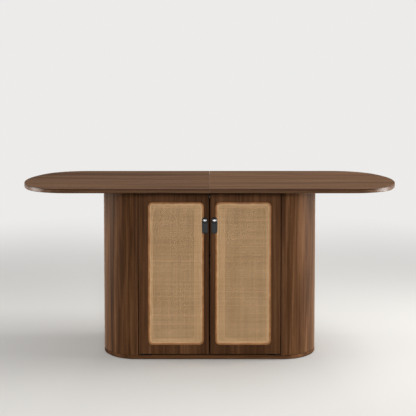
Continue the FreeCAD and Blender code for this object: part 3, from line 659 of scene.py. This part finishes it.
@dataclass(frozen=True)
class Plain:
    """Moulded plastic or bare wood with a fine speck or grain."""

    name: str
    tone: Tone
    roughness: float = 0.6
    stretch: tuple[float, float, float] = (1.0, 1.0, 1.0)
    speck_scale: float = 420.0
    depth: float = 0.15
    gloss: float = 0.3
    shine: float = 0.15
    relief: float = 0.1
    relief_depth: float = 0.1 * MM

    def make(self) -> bpy.types.Material:
        """Return the finished material."""
        paint = Paint(self.name)
        speck = paint.noise(paint.place(self.stretch), self.speck_scale, detail=3.0)
        dark = self.tone.scaled(1.0 - self.depth)
        colour = paint.ramp(speck, (NOISE_LOW, dark), (NOISE_HIGH, self.tone))
        paint.set(Base_Color=colour, Roughness=self.roughness + (speck - 0.5) * self.shine,
                  Specular_IOR_Level=self.gloss)
        paint.bump(speck, self.relief, self.relief_depth)
        return paint.material


class Workbench:
    """Modelling steps that several pieces share."""

    @staticmethod
    def clear() -> None:
        """Leave edit mode and deselect everything."""
        if bpy.context.object and bpy.context.object.mode != "OBJECT":
            bpy.ops.object.mode_set(mode="OBJECT")
        bpy.ops.object.select_all(action="DESELECT")

    @staticmethod
    def hold(piece: bpy.types.Object) -> None:
        """Make a piece the only selected and active one."""
        Workbench.clear()
        piece.select_set(True)
        bpy.context.view_layer.objects.active = piece

    @staticmethod
    def settle(piece: bpy.types.Object) -> None:
        """Put a piece's place into its mesh."""
        Workbench.hold(piece)
        bpy.ops.object.transform_apply(location=True, rotation=True, scale=True)

    @staticmethod
    def edit(piece: bpy.types.Object, wanted: Callable[[Vector], bool] = lambda point: True) -> None:
        """Go into edit mode with the points selected that a test picks.

        Args:
            piece: The piece.
            wanted: The test on a point's place.
        """
        Workbench.hold(piece)
        bpy.ops.object.mode_set(mode="EDIT")
        bpy.ops.mesh.select_mode(type="VERT")
        bpy.ops.mesh.select_all(action="DESELECT")
        bpy.ops.object.mode_set(mode="OBJECT")
        for point in piece.data.vertices:
            point.select = wanted(point.co)
        bpy.ops.object.mode_set(mode="EDIT")

    @staticmethod
    def modify(piece: bpy.types.Object, kind: str, **settings: Any) -> None:
        """Add a modifier and apply it.

        Args:
            piece: The piece.
            kind: The modifier's type.
            settings: The modifier's properties.
        """
        Workbench.hold(piece)
        modifier = piece.modifiers.new(kind.lower(), kind)
        for name, setting in settings.items():
            setattr(modifier, name, setting)
        bpy.ops.object.modifier_apply(modifier=modifier.name)

    @staticmethod
    def join(pieces: Sequence[bpy.types.Object], name: str) -> bpy.types.Object:
        """Join pieces into the first of them.

        Args:
            pieces: The pieces.
            name: The name of the result.

        Returns:
            The joined piece.
        """
        Workbench.clear()
        for piece in pieces:
            piece.select_set(True)
        bpy.context.view_layer.objects.active = pieces[0]
        bpy.ops.object.join()
        pieces[0].name = name
        return pieces[0]


def dress(nodes: Iterable[str], material: bpy.types.Material) -> None:
    """Give CAD nodes a material.

    Args:
        nodes: The nodes' names.
        material: The material.
    """
    for name in nodes:
        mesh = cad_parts[name].data
        mesh.materials.clear()
        mesh.materials.append(material)
        LOG.info("dressed %s with %s", name, material.name)


@dataclass
class TableTop:
    """The two halves of the top."""

    halves: tuple[str, ...] = ("top_left", "top_right")
    seed_step: float = 3.1

    def dress(self) -> None:
        """Give both halves a lengthwise veneer."""
        for number, name in enumerate(self.halves):
            low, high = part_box(name)
            veneer = EdgedVeneer(f"{name}_veneer", Grain.LENGTHWISE, seed=number * self.seed_step,
                                 deep=Tone(62, 39, 23), dark=Tone(83, 56, 36), middle=Tone(102, 73, 50),
                                 pale=Tone(132, 99, 72), roughness=0.74, gloss=0.05, contrast=0.8,
                                 floor=low.z, face=high.z)
            dress([name], veneer.make())


@dataclass
class Cabinet:
    """The fixed base: boards, curved ends, side panels, back, shelf and all their fittings."""

    ends: tuple[tuple[str, float], ...] = (("left_end_shell", 24.6), ("right_end_shell", 11.4))
    upright: tuple[str, ...] = ("left_side_panel", "right_side_panel", "back_panel")
    flat: tuple[str, ...] = ("top_board", "shelf")
    raw: tuple[str, ...] = ("left_front_batten", "left_back_batten", "right_front_batten",
                            "right_back_batten", "seam_dowels", "carcass_dowels")
    plated: tuple[str, ...] = ("seam_plates", "seam_plate_screws", "top_screws", "shelf_pins", "cam_discs",
                               "cam_bolts", "glide_screws", "catch_screws")
    black: tuple[str, ...] = ("left_lower_pivot_plate", "left_upper_pivot_plate", "right_lower_pivot_plate",
                              "right_upper_pivot_plate", "pivot_plate_screws")
    moulded: tuple[str, ...] = ("floor_glides", "catch_body")
    panel_seed: float = 6.1
    board_seed: float = 5.3

    def dress(self) -> None:
        """Give each piece of the base its finish."""
        # End shells: a thin painted shadow along their foot, where they meet the bottom board
        for name, seed in self.ends:
            veneer = FootedVeneer(f"{name}_veneer", Grain.UPRIGHT, foot=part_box(name)[0].z, seed=seed,
                                  roughness=0.56, gloss=0.1, gloss_tone=Tone(255, 214, 172),
                                  figure_scale=10.0, streak_depth=0.44, line_count=150.0,
                                  line_wander=45.0, line_depth=0.045, contrast=0.8, bloom=0.36)
            dress([name], veneer.make())
        # Plinth: a near-black painted shadow along its foot, for the contact shadow under the base
        plinth = FootedVeneer("plinth_veneer", Grain.LENGTHWISE, foot=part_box("bottom_board")[0].z,
                              seed=self.board_seed, dark=Tone(70, 43, 23), middle=Tone(96, 63, 38),
                              pale=Tone(134, 95, 64), joint=2.4 * MM, painted_shade_and_stain=Tone(10, 7, 5))
        dress(["bottom_board"], plinth.make())
        dress(self.upright, Veneer("base_upright_veneer", Grain.UPRIGHT, seed=self.panel_seed).make())
        dress(self.flat, Veneer("base_board_veneer", Grain.LENGTHWISE, seed=self.board_seed).make())
        dress(self.raw, Plain("raw_beech", Tone(205, 170, 125), 0.7, stretch=(1.0, 1.0, 0.05)).make())
        dress(self.plated, Metal("zinc_plate", Tone(190, 190, 188), 0.34).make())
        dress(self.black, Metal("black_steel", Tone(30, 28, 27), 0.5).make())
        dress(self.moulded, Plain("black_nylon", Tone(24, 24, 25), 0.6).make())
        dress(["catch_magnets"], Metal("magnet_steel", Tone(120, 120, 124), 0.4).make())


@dataclass
class Door:
    """One door: routed board, woven cane, binding, reed bead, leather pull and metal fittings."""

    side: Side
    pitch: float = 5.0 * MM
    strand_width: float = 2.8 * MM
    strand_thickness: float = 0.55 * MM
    lift: float = 0.34 * MM
    tuck: float = 4.0 * MM
    corner_cut: float = 10.0 * MM
    bead_width: float = 7.5 * MM
    bead_corner: float = 12.3 * MM
    binding_width: float = 4.6 * MM
    binding_thickness: float = 0.7 * MM
    binding_bevel: float = 0.25 * MM
    slack: float = 0.1 * MM
    strap_thickness: float = 2.3 * MM
    strap_columns: int = 6
    strap_bevel: float = 0.5 * MM
    head_turns: tuple[int, ...] = (14, 30, 46, 62, 76, 90)
    shaft_shares: tuple[float, ...] = (0.25, 0.5, 0.72, 0.86, 0.94)
    fold_turns: range = range(0, 181, 30)
    sharp_angle: float = math.radians(50)
    foot_radius: float = 8.0 * MM
    crown: float = 0.25 * MM
    crown_share: float = 0.75
    dimple: float = 0.5 * MM
    ring_share: float = 0.78
    press_share: float = 1.3
    reach: float = 1.0 * MM
    seeds: tuple[float, float] = (52.9, 29.4)

    def node(self, part: str) -> str:
        """Return the name of one of this door's CAD nodes."""
        return f"{self.side.word}_{part}"

    def strands(self, upright: bool, phase: int) -> bpy.types.Object:
        """Model every second strand of the weave in one direction.

        Args:
            upright: Whether the strands run up the door.
            phase: 0 for the even strands, 1 for the odd ones.

        Returns:
            The strands, flat on the XY plane about the origin.
        """
        low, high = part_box(self.node("cane_panel"))
        columns = math.floor((high.x - low.x - 2 * self.tuck) / self.pitch)
        rows = math.floor((high.z - low.z - 2 * self.tuck) / self.pitch)
        crossings, lines = (rows, columns) if upright else (columns, rows)
        length = crossings * self.pitch
        Workbench.clear()
        bpy.ops.mesh.primitive_grid_add(x_subdivisions=2 * crossings, y_subdivisions=1, size=1.0)
        strand = bpy.context.object
        strand.scale = (length, self.strand_width, 1.0)
        strand.location = (self.pitch / 4, (phase - (lines - 1) / 2) * self.pitch, 0.0)
        Workbench.settle(strand)
        over = phase if upright else 1 - phase
        start = self.pitch / 4 - length / 2

        def crossing(point: Vector) -> int:
            """Return the number of the crossing that a point lies at."""
            return round((point.x - start) * 2 / self.pitch) // 2

        for parity in (0, 1):
            Workbench.edit(strand, lambda point, turn=parity: crossing(point) % 2 == turn)
            bpy.ops.transform.translate(value=(0.0, 0.0, self.lift if parity == over else -self.lift))
        Workbench.modify(strand, "SOLIDIFY", thickness=self.strand_thickness, offset=0.0)
        Workbench.modify(strand, "ARRAY", count=(lines - phase + 1) // 2, use_relative_offset=False,
                         use_constant_offset=True, constant_offset_displace=(0.0, 2 * self.pitch, 0.0))
        if upright:
            strand.rotation_euler = (0.0, 0.0, math.pi / 2)
            Workbench.settle(strand)
        return strand

    def weave(self) -> None:
        """Model the woven cane and let it stand for the plain sheet."""
        low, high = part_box(self.node("cane_panel"))
        groups = []
        for upright, run in ((True, Run.UP), (False, Run.ACROSS)):
            finish = Strand(self.node(f"cane_{run.name.lower()}"), run).make()
            for phase in (0, 1):
                strand = self.strands(upright, phase)
                strand.data.materials.append(finish)
                groups.append(strand)
        cane = Workbench.join(groups, self.node("cane_weave"))
        cane.rotation_euler = (math.pi / 2, 0.0, 0.0)
        cane.location = (low + high) / 2
        Workbench.settle(cane)
        for x, east in ((low.x, -1), (high.x, 1)):
            for z, up in ((low.z, -1), (high.z, 1)):
                Workbench.edit(cane)
                start = (x - east * self.corner_cut, low.y, z)
                bpy.ops.mesh.bisect(plane_co=start, plane_no=(east, 0.0, up), use_fill=True,
                                    clear_outer=True)
        Workbench.clear()
        self.keep(cane, "cane_panel")

    def binding(self) -> None:
        """Model the flat strip of cane that is laid along the inside of the bead."""
        low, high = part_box(self.node("cane_bead"))
        inset = self.bead_width + self.slack
        Workbench.clear()
        bpy.ops.mesh.primitive_plane_add(size=1.0)
        strip = bpy.context.object
        strip.scale = (high.x - low.x - 2 * inset, high.z - low.z - 2 * inset, 1.0)
        strip.rotation_euler = (math.pi / 2, 0.0, 0.0)
        middle = (low + high) / 2
        strip.location = (middle.x, high.y - self.binding_thickness / 2, middle.z)
        Workbench.settle(strip)
        Workbench.edit(strip)
        bpy.ops.mesh.bevel(offset=self.bead_corner, segments=8, affect="VERTICES")
        bpy.ops.mesh.select_all(action="SELECT")
        bpy.ops.mesh.inset(thickness=self.binding_width)
        bpy.ops.mesh.delete(type="FACE")
        bpy.ops.object.mode_set(mode="OBJECT")
        Workbench.modify(strip, "SOLIDIFY", thickness=self.binding_thickness, offset=0.0)
        Workbench.modify(strip, "BEVEL", width=self.binding_bevel, segments=2, limit_method="ANGLE")
        bpy.ops.object.shade_smooth_by_angle(angle=math.radians(40))
        strip.name = self.node("cane_binding")
        finish = Strand(self.node("binding_cane"), Run.AROUND, Tone(216, 178, 134), Tone(188, 150, 108))
        strip.data.materials.append(finish.make())
        self.keep(strip)

    def strap_rows(self, low: Vector, high: Vector) -> list[tuple[float, float, float]]:
        """Lay out the strap from its back head round the fold to its front head.

        Args:
            low: The lowest corner of the pull.
            high: The highest corner of the pull.

        Returns:
            The depth, height and half width of each row.
        """
        half = (high.x - low.x) / 2
        back, front = high.y - self.strap_thickness / 2, low.y + self.strap_thickness / 2
        bend = (back - front) / 2
        fold = low.z + bend + self.strap_thickness / 2
        side = []
        for turn in self.head_turns:
            angle = math.radians(turn)
            side.append((high.z - half * (1.0 - math.cos(angle)), half * math.sin(angle)))
        shaft = high.z - half - fold
        for share in self.shaft_shares:
            height = high.z - half - share * shaft
            side.append((height, self.row_width(half, height - low.z)))
        rows = [(back, height, width) for height, width in side]
        for turn in self.fold_turns:
            angle = math.radians(turn)
            height = fold - bend * math.sin(angle)
            middle = (back + front) / 2 + bend * math.cos(angle)
            rows.append((middle, height, self.row_width(half, height - low.z)))
        return rows + [(front, height, width) for height, width in reversed(side)]

    def row_width(self, half: float, rise: float) -> float:
        """Return half the strap's width at a height over its foot, whose corners are round."""
        short = max(0.0, self.foot_radius - rise)
        return half - self.foot_radius + math.sqrt(self.foot_radius ** 2 - short ** 2)

    def strap(self) -> None:
        """Model the folded leather pull row by row and let it stand for the plain tab."""
        low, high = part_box(self.node("pull"))
        stud = sum(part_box(self.node("pull_stud")), Vector()) / 2
        middle = (low.x + high.x) / 2
        rows = self.strap_rows(low, high)
        Workbench.clear()
        bpy.ops.mesh.primitive_grid_add(x_subdivisions=self.strap_columns, y_subdivisions=1, size=1.0)
        strap = bpy.context.object
        for end, (depth, height, width) in ((-0.5, rows[0]), (0.5, rows[1])):
            at_end = Vector((0.0, end, 0.0))
            Workbench.edit(strap, lambda point, row=at_end: (point - row).yz.length < self.reach)
            bpy.ops.transform.resize(value=(2.0 * width, 1.0, 1.0), center_override=(0.0, 0.0, 0.0))
            bpy.ops.transform.translate(value=(middle, depth - end, height))
        for before, (depth, height, width) in zip(rows[1:], rows[2:]):
            step = (0.0, depth - before[0], height - before[1])
            bpy.ops.mesh.extrude_region_move(TRANSFORM_OT_translate={"value": step})
            centre = (middle, depth, height)
            bpy.ops.transform.resize(value=(width / before[2], 1.0, 1.0), center_override=centre)
        skin = rows[-1][0] + self.slack
        half = (high.x - low.x) / 2
        ridge = self.crown_share * half
        Workbench.edit(strap, lambda point: point.y < skin and abs(point.x - middle) < ridge)
        bpy.ops.transform.translate(value=(0.0, -self.crown, 0.0))
        ring = self.ring_share * half
        Workbench.edit(strap, lambda point: point.y < skin
                       and math.hypot(point.x - stud.x, point.z - stud.z) < ring)
        bpy.ops.transform.translate(value=(0.0, self.dimple, 0.0))
        Workbench.modify(strap, "SOLIDIFY", thickness=self.strap_thickness, offset=0.0)
        Workbench.modify(strap, "BEVEL", width=self.strap_bevel, segments=2, limit_method="ANGLE",
                         angle_limit=self.sharp_angle)
        bpy.ops.object.shade_smooth_by_angle(angle=self.sharp_angle)
        strap.name = self.node("leather_strap")
        hide = Leather(self.node("pull_leather"), stud, self.press_share * half)
        strap.data.materials.append(hide.make())
        self.keep(strap, "pull")

    def keep(self, piece: bpy.types.Object, part: str = "") -> None:
        """Hang a finished piece on this door.

        Args:
            piece: The piece.
            part: The CAD part that it stands for, if any.
        """
        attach(piece, f"{self.side.word}_door")
        if part:
            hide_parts(self.node(part))
        LOG.info("modelled %s with %d faces", piece.name, len(piece.data.polygons))

    def dress(self) -> None:
        """Give the door's CAD nodes their finishes."""
        seed = self.seeds[0] if self.side is Side.LEFT else self.seeds[1]
        # Door board: painted shade on its edges and meeting strip darkens the gaps between the doors
        routed = RoutedVeneer(self.node("door_veneer"), Grain.UPRIGHT, seed=seed, contrast=0.7,
                              board=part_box(self.node("door_frame")),
                              recess=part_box(self.node("cane_panel")))
        dress([self.node("door_frame")], routed.make())
        reed = Strand(self.node("reed"), Run.AROUND, Tone(179, 125, 75), Tone(143, 95, 53))
        dress([self.node("cane_bead")], reed.make())
        chrome = Metal(self.node("chrome"), Tone(170, 172, 175), 0.26)
        dress([self.node("pull_stud"), self.node("pull_nut")], chrome.make())
        nylon = Plain(self.node("bush_nylon"), Tone(34, 34, 35), 0.55)
        dress([self.node("lower_bush"), self.node("upper_bush")], nylon.make())
        zinc = Metal(self.node("strike_zinc"), Tone(96, 95, 93), 0.42)
        dress([self.node("strike_plate"), self.node("strike_screw")], zinc.make())

    def build(self) -> None:
        """Model and dress the door."""
        self.weave()
        self.binding()
        self.strap()
        self.dress()


@dataclass(frozen=True)
class Lamp:
    """A square soft light: where it hangs, where it points, its side, watts and beam in degrees."""

    name: str
    place: tuple[float, float, float]
    aim: tuple[float, float, float]
    size: float
    power: float
    spread: float = 180.0

    def hang(self) -> None:
        """Add the light to the scene."""
        data = bpy.data.lights.new(self.name, "AREA")
        data.size = self.size
        data.energy = self.power
        data.spread = math.radians(self.spread)
        lamp = bpy.data.objects.new(self.name, data)
        lamp.location = self.place
        beam = Vector(self.aim) - Vector(self.place)
        lamp.rotation_euler = beam.to_track_quat("-Z", "Y").to_euler()
        bpy.context.scene.collection.objects.link(lamp)


LAMPS = (
    Lamp("right_side", (3.3, 0.0, 0.8), (0.0, 0.0, 0.5), 1.6, 33.0, 80.0),
    Lamp("left_side", (-3.3, 0.0, 0.7), (0.0, 0.0, 0.5), 1.6, 21.0, 80.0),
    Lamp("front", (0.1, -4.6, 1.65), (0.0, 0.0, 0.45), 0.6, 116.0),
    Lamp("over", (1.9, 0.3, 3.4), (0.0, 0.0, 0.7), 2.0, 74.0),
    Lamp("back", (0.0, 3.8, 0.42), (0.0, 0.0, 0.42), 0.6, 30.0),
)


@dataclass
class Studio:
    """Plain pale floor, soft light and the camera."""

    floor_size: float = 60.0
    near: float = 0.9
    far: float = 4.0
    haze: float = 0.02
    sensor: float = 36.0
    lens: float = 75.191
    eye: tuple[float, float, float] = (-0.007, -3.9035, 1.2165)
    pitch: float = 3.0
    shift: float = -0.20334
    floor_tone: Tone = Tone(208, 206, 202)
    floor_bounce: Tone = Tone(66, 63, 58)
    backdrop: Tone = Tone(236, 235, 234)
    ambient: float = 0.32

    @staticmethod
    def seen(graph: Graph) -> Field:
        """Return 1 for the rays that show the backdrop to the eye, in metal and through glass."""
        path = graph.node("ShaderNodeLightPath")
        seen = Field(graph, path.outputs["Is Camera Ray"])
        for ray in ("Is Glossy Ray", "Is Transmission Ray"):
            seen = seen | Field(graph, path.outputs[ray])
        return seen

    def build_floor(self) -> None:
        """Lay a floor that keeps the shadow and fades into the backdrop far away."""
        Workbench.clear()
        bpy.ops.mesh.primitive_grid_add(x_subdivisions=8, y_subdivisions=8, size=self.floor_size)
        floor = bpy.context.object
        floor.name = "studio_floor"
        paint = Paint("studio_floor_paint")
        seen = self.seen(paint)
        tone = paint.mix(seen, self.floor_bounce.linear, self.floor_tone.linear)
        paint.set(Base_Color=tone, Roughness=0.9, Specular_IOR_Level=0.2)
        east, north, _ = paint.axes()
        away = (east * east + north * north).root().step(self.near, self.far)
        away = (away * (1.0 - self.haze) + self.haze) * seen
        glow = paint.node("ShaderNodeEmission", {}, {"Color": self.backdrop.linear, "Strength": 1.0})
        inputs = {0: away, 1: paint.shader.outputs[0], 2: glow.outputs[0]}
        mixed = paint.node("ShaderNodeMixShader", {}, inputs)
        paint.feed(paint.output, {"Surface": mixed.outputs[0]})
        floor.data.materials.append(paint.material)

    def build_world(self) -> None:
        """Light the scene evenly from all round, and show the eye and polished metal a pale backdrop."""
        world = bpy.data.worlds.new("studio_world")
        bpy.context.scene.world = world
        world.use_nodes = True
        graph = Graph(world.node_tree)
        white = Tone(255, 255, 255).linear
        light = graph.node("ShaderNodeBackground", {}, {"Color": white, "Strength": self.ambient})
        shown = graph.node("ShaderNodeBackground", {}, {"Color": self.backdrop.linear, "Strength": 1.0})
        inputs = {0: self.seen(graph), 1: light.outputs[0], 2: shown.outputs[0]}
        mixed = graph.node("ShaderNodeMixShader", {}, inputs)
        graph.node("ShaderNodeOutputWorld", {}, {"Surface": mixed.outputs[0]})

    def build_camera(self) -> None:
        """Put the camera at the photograph's angle."""
        data = bpy.data.cameras.new("camera")
        data.lens = self.lens
        data.sensor_width = self.sensor
        data.shift_y = self.shift
        camera = bpy.data.objects.new("camera", data)
        camera.location = self.eye
        camera.rotation_euler = (math.radians(90.0 - self.pitch), 0.0, 0.0)
        bpy.context.scene.collection.objects.link(camera)
        bpy.context.scene.camera = camera

    def build(self) -> None:
        """Set up the whole studio."""
        bpy.context.scene.view_settings.view_transform = "Standard"
        self.build_floor()
        self.build_world()
        for lamp in LAMPS:
            lamp.hang()
        self.build_camera()


def main() -> None:
    """Build the studio and dress the table."""
    logging.basicConfig(level=logging.INFO, format="%(message)s")
    Studio().build()
    TableTop().dress()
    Cabinet().dress()
    for side in Side:
        Door(side).build()


if __name__ == "__main__":
    main()
